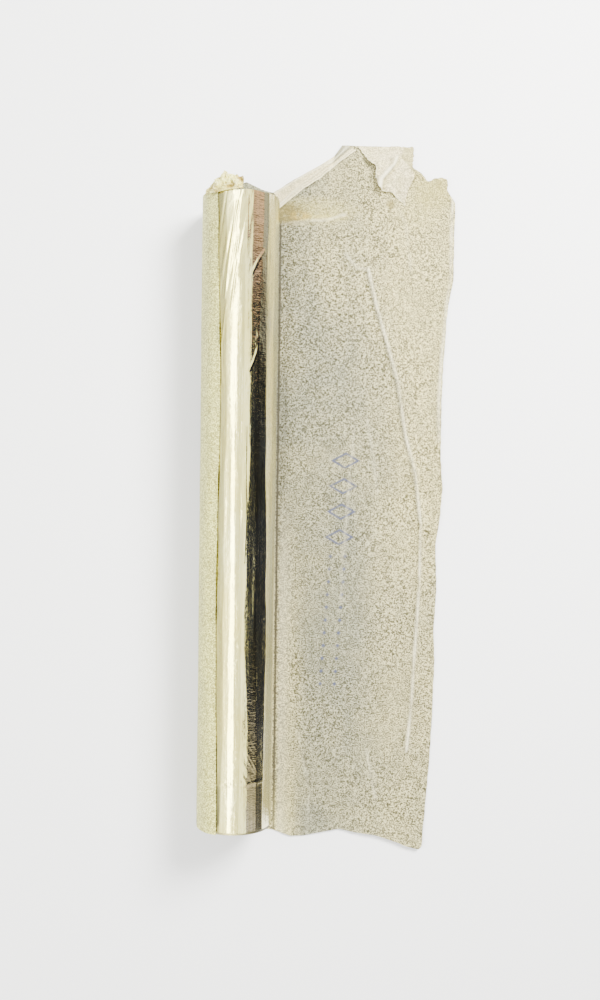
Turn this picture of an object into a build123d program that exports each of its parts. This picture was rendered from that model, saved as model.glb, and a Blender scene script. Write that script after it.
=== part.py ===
"""A roll of thin foil on a cardboard core, lying on its opened tissue wrapper.

Frame: +X to the right across the open wrapper, +Y along the roll, +Z up.
The origin is on the surface that the wrapper lies on, under the middle of the roll.
"""
import os
from math import cos, radians, sin

from build123d import *

# Driving dimensions, millimetres.
ROLL_LENGTH = 300.0
ROLL_RADIUS = 18.0
CORE_BORE_RADIUS = 9.5
CORE_WALL = 1.5
TURN_THICKNESS = 0.4  # the outer turn of foil, thickened
TURN_SLIT = 0.6  # gap at the foil's free edge
TURN_SLIT_ANGLE = 62.0  # degrees left of the top, under the lap
TELESCOPE = 0.8  # the inner turns stand out of the -Y end by this much
TURN_SHIFT = 0.3  # the outer turn sits this much towards +Y

SHEET = 0.3  # wrapper tissue, thickened
GAP = 0.3  # clearance between pieces that move apart
SEAM_X = 20.0  # line where the bed ends and the open flap begins
FLAT_LEFT_X = -6.0  # the bed leaves the surface here and curls up
LAP_EDGE_ANGLE = 34.0  # degrees left of the top, the wrapper's cut edge
LAP_BOTTOM_ANGLE = 89.5  # the lap begins just above the wall
LAP_END_Y = 151.0  # the wall and the lap stop here, past both roll ends
HALF_LENGTH = ROLL_LENGTH / 2

# Derived dimensions.
CORE_RADIUS = CORE_BORE_RADIUS + CORE_WALL
WINDING_RADIUS = ROLL_RADIUS - TURN_THICKNESS
LAP_INNER_RADIUS = ROLL_RADIUS + GAP
LAP_OUTER_RADIUS = LAP_INNER_RADIUS + SHEET
AXIS_Z = LAP_OUTER_RADIUS
CURL_RADIUS = LAP_OUTER_RADIUS + FLAT_LEFT_X  # the bed's quarter turn, outer face

# Outlines on the surface, X and Y, one point for each change of direction.
BED_OUTLINE = [
    (SEAM_X, -160.5), (FLAT_LEFT_X, -154.0), (FLAT_LEFT_X, 163.0),
    (1.0, 165.0), (9.0, 161.5), (15.0, 160.0), (SEAM_X, 163.5),
]
FLAP_OUTLINE = [
    (SEAM_X + GAP, -160.5), (30.0, -162.5), (51.0, -158.5), (69.0, -161.0), (81.0, -165.0),
    (92.5, -167.5), (96.0, -124.0), (98.0, -73.0), (97.5, -16.0), (101.0, 12.0),
    (100.0, 57.0), (102.0, 97.0), (105.0, 117.0), (106.0, 158.5), (101.0, 167.0),
    (93.0, 167.0), (84.0, 173.0), (85.0, 182.0), (83.5, 184.0), (48.5, 184.0),
    (36.5, 173.0), (SEAM_X + GAP, 163.7),
]
TOP_FOLD_OUTLINE = [
    (21.0, 164.0), (36.5, 173.0), (48.5, 184.0), (56.0, 182.0), (44.0, 173.0),
    (30.0, 161.5), (21.0, 156.0),
]
TORN_FLAP_OUTLINE = [
    (57.0, 183.2), (61.5, 176.5), (66.0, 173.0), (65.5, 168.0), (68.5, 161.0), (74.0, 160.0),
    (80.5, 153.7), (82.5, 163.0), (84.5, 169.5), (83.5, 173.0), (84.0, 183.2),
]
TOP_FOLD_HEIGHT = 0.4  # the folded strip, two layers
TORN_FLAP_LIFT = 0.6  # the torn flap's underside above the open flap
TORN_FLAP_THICKNESS = 0.4
CRUMPLE_ANGLES = (LAP_EDGE_ANGLE, 76.0)  # degrees left of the top
CRUMPLE_INNER_RADIUS = 11.5
CRUMPLE_LENGTH = 10.0


def plane_across_roll(y_end):
    """Sketch plane across the roll at y_end; local x is X, local y is Z, extrudes go to -Y."""
    return Plane((0, y_end, AXIS_Z), x_dir=(1, 0, 0), z_dir=(0, -1, 0))


def ring(label, outer, inner, y_low, y_high):
    """A tube about the roll's axis."""
    with BuildPart() as tube:
        with BuildSketch(plane_across_roll(y_high)):
            Circle(outer)
            Circle(inner, mode=Mode.SUBTRACT)
        extrude(amount=y_high - y_low)
    tube.part.label = label
    return tube.part


def on_circle(radius, degrees_left_of_top):
    """A point about the roll's axis, in the plane across the roll."""
    angle = radians(degrees_left_of_top)
    return (-radius * sin(angle), radius * cos(angle))


def sector_piece(label, radii, angles, y_low, y_high):
    """A length of shell about the roll's axis, between two radii and two angles."""
    inner, outer = radii
    low, high = angles
    middle = (low + high) / 2
    with BuildPart() as shell:
        with BuildSketch(plane_across_roll(y_high)):
            with BuildLine():
                ThreePointArc(on_circle(inner, low), on_circle(inner, middle),
                              on_circle(inner, high))
                Line(on_circle(inner, high), on_circle(outer, high))
                ThreePointArc(on_circle(outer, high), on_circle(outer, middle),
                              on_circle(outer, low))
                Line(on_circle(outer, low), on_circle(inner, low))
            make_face()
        extrude(amount=y_high - y_low)
    shell.part.label = label
    return shell.part


def flat_piece(label, outline, z_low, thickness):
    """A flat sheet with a polygon outline."""
    with BuildPart() as sheet:
        with BuildSketch(Plane.XY.offset(z_low)):
            with BuildLine():
                Polyline(*outline, close=True)
            make_face()
        extrude(amount=thickness)
    sheet.part.label = label
    return sheet.part


def make_core_tube():
    return ring("core_tube", CORE_RADIUS, CORE_BORE_RADIUS, -HALF_LENGTH, HALF_LENGTH)


def make_foil_winding():
    return ring("foil_winding", WINDING_RADIUS, CORE_RADIUS,
                -HALF_LENGTH - TELESCOPE, HALF_LENGTH - TELESCOPE)


def make_foil_outer_turn():
    """The last turn: a sleeve with a slit where the foil's free edge ends."""
    with BuildPart() as turn:
        with BuildSketch(plane_across_roll(HALF_LENGTH + TURN_SHIFT)):
            Circle(ROLL_RADIUS)
            Circle(WINDING_RADIUS, mode=Mode.SUBTRACT)
            slit_centre = on_circle((ROLL_RADIUS + WINDING_RADIUS) / 2, TURN_SLIT_ANGLE)
            with Locations(slit_centre):
                Rectangle(TURN_SLIT, 4 * TURN_THICKNESS, rotation=TURN_SLIT_ANGLE,
                          mode=Mode.SUBTRACT)
        extrude(amount=ROLL_LENGTH)
    turn.part.label = "foil_outer_turn"
    return turn.part


def make_wrapper_bed():
    """The tissue under the roll, with its quarter curl and short wall up the left side."""
    left = -LAP_OUTER_RADIUS
    base = -AXIS_Z  # the surface, in the plane across the roll
    curl_top = base + CURL_RADIUS
    wall_top = -GAP / 2
    half = radians(45)
    inner = CURL_RADIUS - SHEET
    with BuildPart() as bed:
        with BuildSketch(Plane.XY):
            with BuildLine():
                Polyline(*BED_OUTLINE, close=True)
            make_face()
        extrude(amount=SHEET)
        with BuildSketch(plane_across_roll(LAP_END_Y)):
            with BuildLine():
                ThreePointArc(
                    (FLAT_LEFT_X, base),
                    (FLAT_LEFT_X - CURL_RADIUS * sin(half), curl_top - CURL_RADIUS * cos(half)),
                    (left, curl_top),
                )
                Line((left, curl_top), (left, wall_top))
                Line((left, wall_top), (left + SHEET, wall_top))
                Line((left + SHEET, wall_top), (left + SHEET, curl_top))
                ThreePointArc(
                    (left + SHEET, curl_top),
                    (FLAT_LEFT_X - inner * sin(half), curl_top - inner * cos(half)),
                    (FLAT_LEFT_X, base + SHEET),
                )
                Line((FLAT_LEFT_X, base + SHEET), (FLAT_LEFT_X, base))
            make_face()
        extrude(amount=2 * LAP_END_Y)
    bed.part.label = "wrapper_bed"
    return bed.part


def make_wrapper_lap():
    """The wrapper's edge, laid over the left side of the roll."""
    return sector_piece("wrapper_lap", (LAP_INNER_RADIUS, LAP_OUTER_RADIUS),
                        (LAP_EDGE_ANGLE, LAP_BOTTOM_ANGLE), -LAP_END_Y, LAP_END_Y)


def make_wrapper_end_crumple():
    """The lap's bunched end, standing out past the roll's +Y end."""
    return sector_piece("wrapper_end_crumple", (CRUMPLE_INNER_RADIUS, LAP_OUTER_RADIUS),
                        CRUMPLE_ANGLES, LAP_END_Y, LAP_END_Y + CRUMPLE_LENGTH)


def make_flat_pieces():
    """The open flap, with the folded strip and the torn flap that lie on it."""
    return [
        flat_piece("wrapper_open_flap", FLAP_OUTLINE, 0.0, SHEET),
        flat_piece("wrapper_top_fold", TOP_FOLD_OUTLINE, SHEET, TOP_FOLD_HEIGHT),
        flat_piece("wrapper_torn_flap", TORN_FLAP_OUTLINE, SHEET + TORN_FLAP_LIFT,
                   TORN_FLAP_THICKNESS),
    ]


def main():
    os.makedirs("parts", exist_ok=True)
    pieces = [
        make_core_tube(),
        make_foil_winding(),
        make_foil_outer_turn(),
        make_wrapper_bed(),
        make_wrapper_lap(),
        make_wrapper_end_crumple(),
        *make_flat_pieces(),
    ]
    for piece in pieces:
        export_step(piece, f"parts/{piece.label}.step")


main()
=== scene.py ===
"""Looks of a foil roll lying on its opened tissue wrapper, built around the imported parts.

Shapes are worked out in millimetres in the part's frame: X across the open wrapper, Y along
the roll, Z up. Angles about the roll are degrees from its top, positive towards +X.
"""

import math

import bpy
import numpy as np
from bpy.props import FloatProperty, FloatVectorProperty, PointerProperty
from bpy.types import Operator, Panel, PropertyGroup
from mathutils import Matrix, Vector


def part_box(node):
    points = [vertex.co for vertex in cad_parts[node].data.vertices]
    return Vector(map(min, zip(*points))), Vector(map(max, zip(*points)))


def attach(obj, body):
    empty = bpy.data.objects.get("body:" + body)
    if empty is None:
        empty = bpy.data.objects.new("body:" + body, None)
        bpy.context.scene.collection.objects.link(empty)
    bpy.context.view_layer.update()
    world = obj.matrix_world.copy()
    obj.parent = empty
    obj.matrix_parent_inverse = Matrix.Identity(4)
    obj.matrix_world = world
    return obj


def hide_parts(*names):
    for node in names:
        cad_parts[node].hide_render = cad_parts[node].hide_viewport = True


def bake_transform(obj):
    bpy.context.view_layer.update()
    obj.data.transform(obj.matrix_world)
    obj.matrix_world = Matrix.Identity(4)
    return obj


bl_info = {
    "name": "Foil Roll in Tissue Wrapper",
    "version": (1, 0, 0),
    "blender": (4, 5, 0),
    "location": "View3D > Sidebar > Foil Roll",
    "description": "Builds a roll of thin foil and its opened tissue wrapper",
    "category": "Object",
}

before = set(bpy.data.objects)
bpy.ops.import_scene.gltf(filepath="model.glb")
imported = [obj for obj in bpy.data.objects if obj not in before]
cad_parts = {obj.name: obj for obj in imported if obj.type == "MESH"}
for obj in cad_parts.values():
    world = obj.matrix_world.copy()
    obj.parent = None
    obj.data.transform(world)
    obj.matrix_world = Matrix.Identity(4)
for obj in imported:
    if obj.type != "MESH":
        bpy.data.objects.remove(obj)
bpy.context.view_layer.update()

MM = 0.001
TURN_LOW, TURN_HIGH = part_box("foil_outer_turn")
WINDING_LOW, WINDING_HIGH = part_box("foil_winding")
CORE_LOW, CORE_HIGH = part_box("core_tube")
BED_LOW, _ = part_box("wrapper_bed")
AXIS_Z = (CORE_LOW.z + CORE_HIGH.z) / 2 / MM
ROLL_RADIUS = (TURN_HIGH.z - TURN_LOW.z) / 2 / MM
WIDENING = 0.3  # how much the roll's radius grows from its middle to its +Y end
HALF_ROLL = 150  # half the roll's length
LAP_RADIUS = -BED_LOW.x / MM - 0.05  # middle of the tissue round the roll
LAP_END = 151  # half the length of the tissue round the roll
RESTING = 0.12  # height of the tissue's middle where it lies flat
FLAT_LEFT_X = -6.0  # the bed curls up from here
SEAM_X = 12.0  # where the two wrapper meshes meet, under the roll
FOLD_LINE_Y = 184  # the torn piece is folded back along this line
RING_Y = -127  # a crease right round the foil

# Outline of the open flap, anticlockwise from the seam's lower end.
FLAP_BOTTOM = [
    (SEAM_X, -159.0), (18, -159.4), (21, -160.4), (27, -162.3), (33, -162.2), (43, -160),
    (51, -158.4), (59, -160), (69, -161.2), (75, -163), (81, -165), (85, -166.6), (91, -168),
]
FLAP_RIGHT = [
    (92.5, -166.5), (94.3, -144), (96, -124), (97, -104), (98, -73.5), (97.3, -58.5),
    (98.6, -38.5), (97.8, -16), (99.6, -3), (101, 12), (99.8, 27), (99.9, 57), (100.7, 77),
    (101.9, 97), (103.3, 107), (105.2, 117), (105.4, 142), (105.7, 158.5),
]
FLAP_TOP = [
    (101.6, 161.6), (101, 167.2), (97.8, 167.8), (91.6, 166), (88.8, 169.8), (84, 173.3),
    (84.8, 182.3), (83.3, 184), (48.7, 184), (44.8, 178.4), (36.7, 172.8), (28.8, 168.2),
    (20.8, 164), (14.8, 160), (SEAM_X, 160.5),
]
# The folded strip's two long edges, from the roll outwards.
FOLD_OUTER = [(14.6, 160.2), (28.8, 168.2), (36.7, 172.8), (44.8, 178.4), (48.7, 183.8)]
FOLD_INNER = [(17.8, 152.2), (30, 161.6), (37.3, 166.2), (43.3, 171.8), (56, 182)]
# Outline of the torn piece, anticlockwise from its fold line's left end.
TORN_OUTLINE = [
    (56.8, 183.6), (61.3, 176.3), (65.8, 172.7), (65.4, 168), (67.2, 162.5), (68.6, 161),
    (74.1, 160.1), (77.6, 156.6), (80.7, 153.7), (81.1, 158.7), (82.3, 162.7), (84.6, 166.7),
    (84.9, 169.5), (83.7, 173), (84.4, 183.6),
]
# The open flap's longest crease, then all its creases as points, half width and height.
MAIN_CREASE = [
    (50.8, 129.6), (56.9, 122.3), (62.4, 121.8), (67.3, 101.8), (72.5, 84.3), (77.7, 66.2),
    (82, 38.7), (87.1, 20.7), (90.1, -5),
]
CREASES = [
    (MAIN_CREASE[:3], 2.2, 0.5),
    (MAIN_CREASE[2:], 2.4, 1.7),
    ([(90.1, -5), (89.9, -34), (88.7, -56), (87.4, -77), (86.6, -94), (84.4, -119)], 2.4, 1.5),
    ([(64.4, -119), (69.2, -143)], 2.0, 0.35),
    ([(56.5, 43.7), (53.4, 3.2), (52, -18), (50.5, -46)], 2.2, 0.3),
    ([(62.8, 47), (68.4, 10.8)], 2.0, 0.3),
    ([(34, 146), (42, 146.6), (50.6, 149.3)], 1.8, 0.7),
    ([(19, 144.2), (34, 146)], 2.0, 0.4),
    ([(75.5, 156), (81, 145), (84, 120)], 2.0, 0.25),
    ([(30, -110), (36, -140), (35, -160)], 2.4, 0.25),
]
# Where the flap's right edge is turned up.
EDGE_CURL = [
    (104.2, 157), (103.8, 142), (103.6, 118), (101.6, 104), (99.4, 77), (98.5, 57), (98.6, 36),
]


def smooth(t):
    """0 below 0, 1 above 1, and a smooth step between."""
    t = bounded(t)
    return t * t * (3 - 2 * t)


def bounded(t):
    """t held between 0 and 1."""
    return np.clip(t, 0, 1)


def bell(offset, width):
    """1 at no offset, falling to about a third at width on either side."""
    return np.exp(-((offset / width) ** 2))


def noise(x, y, seed):
    """Smooth noise from -1 to 1, about one bump for each unit of x and y."""
    table = np.random.default_rng(seed).uniform(-1, 1, (64, 64))
    column, row = np.floor(x).astype(int), np.floor(y).astype(int)
    across, up = smooth(x - column), smooth(y - row)

    def at(i, j):
        return table[i % 64, j % 64]

    low = at(column, row) * (1 - across) + at(column + 1, row) * across
    high = at(column, row + 1) * (1 - across) + at(column + 1, row + 1) * across
    return low * (1 - up) + high * up


def line_noise(t, seed):
    """Smooth noise from -1 to 1 that varies in one direction."""
    return noise(t, 0 * t, seed)


def creased_noise(x, y, seed):
    """Crumpled sheet: flat-sided folds with sharp crests, from 0 to about 1."""
    total = 0
    for octave in range(3):
        scale = 1.9**octave
        total += (1 - np.abs(noise(x * scale, y * scale, seed + octave))) / scale
    return total / 1.8 - 0.3


def distance_to(x, y, points):
    """Distance to a line through points."""
    nearest = np.full(np.shape(x), 1e9)
    for (ax, ay), (bx, by) in zip(points, points[1:]):
        run_x, run_y = bx - ax, by - ay
        along = ((x - ax) * run_x + (y - ay) * run_y) / (run_x**2 + run_y**2)
        along = bounded(along)
        nearest = np.minimum(nearest, np.hypot(x - ax - along * run_x, y - ay - along * run_y))
    return nearest


def ridge(x, y, points, half_width):
    """A sharp-crested fold along points: 1 on the line, 0 from half_width away."""
    return bounded(1 - distance_to(x, y, points) / half_width) ** 1.6


def inside(x, y, outline):
    """True for the points that lie within a closed outline."""
    result = np.zeros(np.shape(x), bool)
    for (ax, ay), (bx, by) in zip(outline, outline[1:] + outline[:1]):
        if ay == by:
            continue
        spans = (y < ay) != (y < by)
        result ^= spans & (x < ax + (y - ay) / (by - ay) * (bx - ax))
    return result


def ragged(outline, step, depth, seed):
    """The outline with more points, torn by up to depth."""
    rng = np.random.default_rng(seed)
    points = []
    for (ax, ay), (bx, by) in zip(outline, outline[1:] + outline[:1]):
        run = math.hypot(bx - ax, by - ay)
        count = max(1, round(run / step))
        for i in range(count):
            off = 0 if i == 0 else rng.uniform(-depth, depth)
            points.append((ax + (bx - ax) * i / count - (by - ay) / run * off,
                           ay + (by - ay) * i / count + (bx - ax) / run * off))
    return points


def deselect():
    bpy.ops.object.select_all(action="DESELECT")


def set_mode(mode):
    bpy.ops.object.mode_set(mode=mode)


def coordinates(mesh):
    co = np.zeros(len(mesh.vertices) * 3)
    mesh.vertices.foreach_get("co", co)
    return co.reshape(-1, 3)


def set_coordinates(mesh, x, y, z):
    co = np.stack(np.broadcast_arrays(x, y, z), 1)
    mesh.vertices.foreach_set("co", co.ravel())
    mesh.update()


def shape(piece, x, y, z):
    """Moves a piece's vertices to places in millimetres."""
    set_coordinates(piece.data, x * MM, y * MM, z * MM)


def add_grid(name, columns, rows):
    """A flat grid, one unit each way, ready to be shaped."""
    deselect()
    bpy.ops.mesh.primitive_grid_add(x_subdivisions=columns, y_subdivisions=rows, size=1)
    piece = bpy.context.object
    piece.name = name
    piece.data.name = name
    return piece


def grid_shares(piece):
    """Each vertex's share of the way across and along its grid, from 0 to 1."""
    co = coordinates(piece.data)
    return co[:, 0] + 0.5, co[:, 1] + 0.5


def cut_sheet(name, outline, steps):
    """A flat sheet in millimetres, meshed in rectangles of steps and cut to outline."""
    points = np.array(outline, float)
    low, high = points.min(0), points.max(0)
    columns, rows = (max(2, round(side / size)) for side, size in zip(high - low, steps))
    piece = add_grid(name, columns, rows)
    across, along = grid_shares(piece)
    x = low[0] + across * (high[0] - low[0])
    y = low[1] + along * (high[1] - low[1])
    within = inside(x, y, outline)
    set_coordinates(piece.data, x, y, 0)
    set_mode("EDIT")
    bpy.ops.mesh.select_all(action="DESELECT")
    set_mode("OBJECT")
    for face in piece.data.polygons:
        face.select = not any(within[v] for v in face.vertices)
    set_mode("EDIT")
    bpy.ops.mesh.select_mode(type="FACE")
    bpy.ops.mesh.delete(type="FACE")
    set_mode("OBJECT")
    co = coordinates(piece.data)
    outside = ~inside(co[:, 0], co[:, 1], outline)
    co[outside, :2] = nearest_on(co[outside, :2], outline)
    set_coordinates(piece.data, *co.T)
    return piece


def nearest_on(spots, outline):
    """The nearest point on the outline to each spot."""
    best = np.full(len(spots), 1e9)
    found = spots.copy()
    for start, end in zip(outline, outline[1:] + outline[:1]):
        start, run = np.array(start, float), np.array(end, float) - np.array(start, float)
        along = bounded((spots - start) @ run / max(run @ run, 1e-9))
        point = start + along[:, None] * run
        gap = np.hypot(*(spots - point).T)
        closer = gap < best
        best[closer], found[closer] = gap[closer], point[closer]
    return found


def add_attributes(piece, **attributes):
    """Numbers from 0 to 1 for each vertex, which a material can read."""
    for name, values in attributes.items():
        attribute = piece.data.attributes.new(name, "FLOAT", "POINT")
        values = np.broadcast_to(values, len(piece.data.vertices))
        attribute.data.foreach_set("value", values.astype(np.float32))


def apply_modifier(piece, kind, **settings):
    modifier = piece.modifiers.new(kind.title(), kind)
    for name, value in settings.items():
        setattr(modifier, name, value)
    bpy.context.view_layer.objects.active = piece
    bpy.ops.object.modifier_apply(modifier=modifier.name)


def smooth_shading(piece, degrees=40.0):
    deselect()
    piece.select_set(True)
    bpy.context.view_layer.objects.active = piece
    bpy.ops.object.shade_smooth_by_angle(angle=math.radians(degrees))


def thicken(piece, millimetres):
    """Gives a sheet its two faces and its edge."""
    apply_modifier(piece, "SOLIDIFY", thickness=millimetres * MM, offset=0.0)
    smooth_shading(piece)


# ---------------------------------------------------------------- materials


class Value:
    """A number, vector or colour in a shader. Arithmetic on it adds Math nodes."""

    def __init__(self, shader, socket):
        self.shader = shader
        self.socket = socket

    def math(self, operation, *others, clamp=False):
        settings = {"operation": operation, "use_clamp": clamp}
        return self.shader.node("ShaderNodeMath", settings, self, *others)

    def __add__(self, other):
        return self.math("ADD", other)

    def __sub__(self, other):
        return self.math("SUBTRACT", other)

    def __rsub__(self, other):
        return self.shader.node("ShaderNodeMath", {"operation": "SUBTRACT"}, other, self)

    def __mul__(self, other):
        return self.math("MULTIPLY", other)

    def __truediv__(self, other):
        return self.math("DIVIDE", other)

    def __pow__(self, other):
        return self.math("POWER", other)

    __radd__ = __add__
    __rmul__ = __mul__

    def absolute(self):
        return self.math("ABSOLUTE")

    def clamped(self):
        return self.math("ADD", 0.0, clamp=True)

    def at_most(self, limit, blur):
        """1 where this is under limit, 0 above, with an edge of width blur."""
        return ((limit - self) / blur + 0.5).clamped()


class Shader:
    """A material's node tree, built with expressions."""

    def __init__(self, name):
        self.material = bpy.data.materials.new(name)
        self.material.use_nodes = True
        self.tree = self.material.node_tree
        self.tree.nodes.clear()

    def node(self, kind, settings=None, *values, at=(), out=0, **named):
        """Adds a node: its settings, then its sockets by order, by number or by name."""
        made = self.tree.nodes.new(kind)
        for name, value in (settings or {}).items():
            setattr(made, name, value)
        for key, value in [*enumerate(values), *at, *named.items()]:
            socket = made.inputs[key if isinstance(key, int) else key.replace("_", " ")]
            if isinstance(value, Value):
                self.tree.links.new(value.socket, socket)
            else:
                socket.default_value = value
        return Value(self, made.outputs[out])

    def place(self):
        """The object coordinates, and X, Y and Z in millimetres."""
        where = self.node("ShaderNodeTexCoord", None, out=3)
        parts = self.node("ShaderNodeSeparateXYZ", None, where).socket.node.outputs
        return where, *(Value(self, part) * (1 / MM) for part in parts)

    def attribute(self, name):
        return self.node("ShaderNodeAttribute", {"attribute_name": name}, out=2)

    def speckle(self, where, size_mm, detail=2.0, roughness=0.5, stretch=(1, 1, 1)):
        """Noise from 0 to 1 whose grains are about size_mm across."""
        stretched = self.node("ShaderNodeMapping", None, where, Scale=stretch)
        return self.node("ShaderNodeTexNoise", None, Vector=stretched, Scale=1 / (size_mm * MM),
                         Detail=detail, Roughness=roughness)

    def blend(self, share, first, second):
        """From the first colour to the second as share goes from 0 to 1."""
        first, second = (end if isinstance(end, Value) else (*end[:3], 1.0)
                         for end in (first, second))
        sockets = ((0, share), (6, first), (7, second))
        return self.node("ShaderNodeMix", {"data_type": "RGBA"}, at=sockets, out=2)

    def spot(self, x, y, centre, radii):
        """1 at a centre in millimetres, falling off over the two radii."""
        away = ((x - centre[0]) / radii[0]) ** 2.0 + ((y - centre[1]) / radii[1]) ** 2.0
        return (1.0 - away).clamped()

    def bump(self, height, depth_mm, strength=1.0):
        return self.node("ShaderNodeBump", None, Height=height, Distance=depth_mm * MM,
                         Strength=strength)

    def principled(self, **sockets):
        return self.node("ShaderNodeBsdfPrincipled", None, **sockets)

    def lit_panel(self, colour, strength):
        """A surface that only glows."""
        return self.finish(self.principled(
            Base_Color=(0, 0, 0, 1), Roughness=1.0, Specular_IOR_Level=0.0,
            Emission_Color=colour, Emission_Strength=strength))

    def finish(self, surface):
        output = self.tree.nodes.new("ShaderNodeOutputMaterial")
        self.tree.links.new(surface.socket, output.inputs["Surface"])
        return self.material


def scaled(colour, factor):
    return tuple(min(1.0, part * factor) for part in colour)


def tissue_material(name, tissue, thin, thick, contrast, printed):
    """Translucent tissue with flecked fibres.

    The tone attribute goes from the thin colour to the thick one, and on some pieces it also
    carries painted light and shade. The crease attribute whitens crests and edges: paler broken
    fibres and a painted highlight. Only the printed sheet has marks, stains and a painted shadow
    beside the roll.
    """
    s = Shader(name)
    where, x, y, _ = s.place()
    coarse = s.speckle(where, 1.2, 3.0, 0.7)
    fine = s.speckle(where, 0.6, 2.0, 0.8)
    fleck = (((coarse - 0.5) * 0.35 + (fine - 0.5) * 0.65) * 10.5 + 0.40).clamped()
    tone = s.attribute("tone")
    dark = s.blend(tone, scaled(thin, 1 - contrast), scaled(thick, 1 - contrast))
    light = s.blend(tone, scaled(thin, 1 + contrast), scaled(thick, 1 + contrast))
    colour = s.blend(fleck, dark, light)
    if printed:
        colour = printed_marks(s, colour, x, y, fleck, tissue)
        colour = stains(s, colour, x, y, fleck, tissue)
    # paler broken fibres on crests, with a painted highlight on crests and edges
    colour = s.blend(s.attribute("crease") * 0.9, colour, tissue.pale_crest_and_highlight_colour)
    normal = s.bump(fleck, 0.035, 0.5)
    paper = s.principled(Base_Color=colour, Roughness=0.55, Normal=normal)
    glow = s.node("ShaderNodeBsdfTranslucent", None, Color=(*tissue.glow_colour, 1))
    return s.finish(s.node("ShaderNodeMixShader", None, tissue.translucency, paper, glow))


MARK_PITCH = 12.8  # from one diamond to the next, along the row


def printed_marks(s, colour, x, y, fleck, tissue):
    """A slanting row of plain diamonds and dots, faint because they are on the back."""
    across = (x - 48.5 - (y + 28.0) * 0.07).absolute()
    worn = (s.speckle(s.place()[0], 5.0, 2.0, 0.6) * 2.4 - 0.2).clamped() * (fleck * 0.3 + 0.7)
    step = (y + 102.0).math("PINGPONG", MARK_PITCH / 2)
    diamond = (across * 0.56 + step - 3.6).absolute().at_most(0.5, 0.35)
    upper = (y - 6.8).absolute().at_most(24.0, 0.5)
    dots = ((across - 3.6).absolute() + (step - 3.2).absolute()).at_most(1.0, 0.35)
    lower = (y + 54.0).absolute().at_most(35.0, 0.5)
    inked = (diamond * upper + dots * lower) * worn * 1.2
    return s.blend(inked, colour, tissue.mark_colour)


# Stained places on the open sheet: the centre, the two radii and the strength.
YELLOW_PLACES = [
    ((95.0, 163.0), (15.0, 13.0), 0.9), ((23.0, -150.0), (7.0, 22.0), 0.5),
    ((34.0, 151.0), (26.0, 8.0), 0.8), ((40.0, 147.6), (14.0, 2.0), 0.9),
    ((88.0, 150.0), (14.0, 10.0), 0.35),
]
BROWN_PLACES = [
    ((23.0, 149.5), (9.0, 7.0), 1.4), ((73.6, 154.6), (3.2, 3.0), 1.1),
    ((97.6, 164.4), (2.4, 2.0), 0.6), ((94.0, 154.5), (1.6, 1.2), 0.5),
]
ORANGE_PLACES = [((28.0, 148.5), (6.5, 2.8), 1.2)]
ROLL_SHADOW_X = 18.3  # painted shadow: a dark line on the sheet beside the roll, where the roll shades it


def stains(s, colour, x, y, fleck, tissue):
    """A painted shadow, a dark line on the sheet where it meets the roll, then yellow, brown and
    orange stains.
    """
    # painted shadow: a near-black line along the roll's foot, where the roll shades the sheet
    bordering = (x - ROLL_SHADOW_X).absolute().at_most(0.55, 0.5)
    colour = s.blend(bordering * 0.9, colour, (0.05, 0.045, 0.035))
    ragged_edge = (s.speckle(s.place()[0], 3.0, 3.0, 0.7) * 3.4 - 1.1).clamped()
    for places, rough, stain, low, high in (
            (YELLOW_PLACES, 0.6, tissue.yellow_colour, 0.45, 1.0),
            (BROWN_PLACES, 0.5, tissue.stain_colour, 0.5, 1.0),
            (ORANGE_PLACES, 1.0, tissue.orange_colour, 0.6, 1.3)):
        spots = [s.spot(x, y, centre, radii) * strength for centre, radii, strength in places]
        covered = sum(spots[1:], spots[0]) * (ragged_edge * rough + (1 - rough))
        mottled = s.blend(fleck, scaled(stain, low), scaled(stain, high))
        colour = s.blend(covered.clamped(), colour, mottled)
    return colour


def foil_material(foil):
    """Bright rolled foil with a warm tint, drawn streaks, cross ripples and small crinkles."""
    s = Shader("bright foil")
    uv = s.node("ShaderNodeUVMap", None)
    streak = s.speckle(uv, 0.8, 2.0, 0.55, (1.0, 0.05, 1.0))
    ripple = s.speckle(uv, 0.7, 2.0, 0.6, (0.22, 1.0, 1.0))
    crinkle = s.speckle(uv, 2.2, 3.0, 0.6)
    cloud = s.speckle(uv, 16.0, 2.0, 0.5, (1.0, 0.4, 1.0))
    colour = s.blend(((cloud - 0.4) * 4.0).clamped(), foil.tint, foil.pale)
    drawn = s.speckle(uv, 1.1, 1.0, 0.5, (1.0, 0.02, 1.0))
    colour = s.blend(((drawn - 0.5) * 4.0 + 0.3).clamped() * 0.42, colour, foil.drawn_colour)
    # painted shade: a dark line beside the lap's edge, where the gap under the lap is in shadow
    colour = s.blend(s.attribute("seam") * 0.8, colour, foil.lap_shadow_colour)
    rough = 0.07 + streak * 0.08 + crinkle * 0.08
    height = streak * 0.35 + ripple * 0.6 + crinkle * 0.9
    return s.finish(s.principled(Base_Color=colour, Metallic=1.0, Roughness=rough,
                                 Normal=s.bump(height, 0.15, 0.8)))


def winding_material():
    """The cut ends of many turns: dull uneven rings with painted shade in the gaps between."""
    s = Shader("wound foil edges")
    where, x, _, z = s.place()
    radius = (x**2.0 + (z - AXIS_Z) ** 2.0) ** 0.5
    rings = (radius * 21.0).math("SINE") * 0.5 + 0.5
    uneven = s.node("ShaderNodeTexNoise", {"noise_dimensions": "1D"}, W=radius, Scale=2.6,
                    Detail=2.0, Roughness=0.7)
    patch = s.speckle(where, 2.6, 3.0, 0.6)
    turns = ((uneven - 0.5) * 2.6 + 0.5 + (patch - 0.5) * 0.8).clamped()
    colour = s.blend(turns, (0.20, 0.185, 0.15), (0.66, 0.62, 0.47))
    # painted shade: near-black lines in the gaps between the turns
    colour = s.blend(rings**6.0 * 0.55, colour, (0.05, 0.045, 0.035))
    return s.finish(s.principled(Base_Color=colour, Metallic=1.0, Roughness=0.34 + patch * 0.2,
                                 Normal=s.bump(turns - rings, 0.05, 0.7)))


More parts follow.
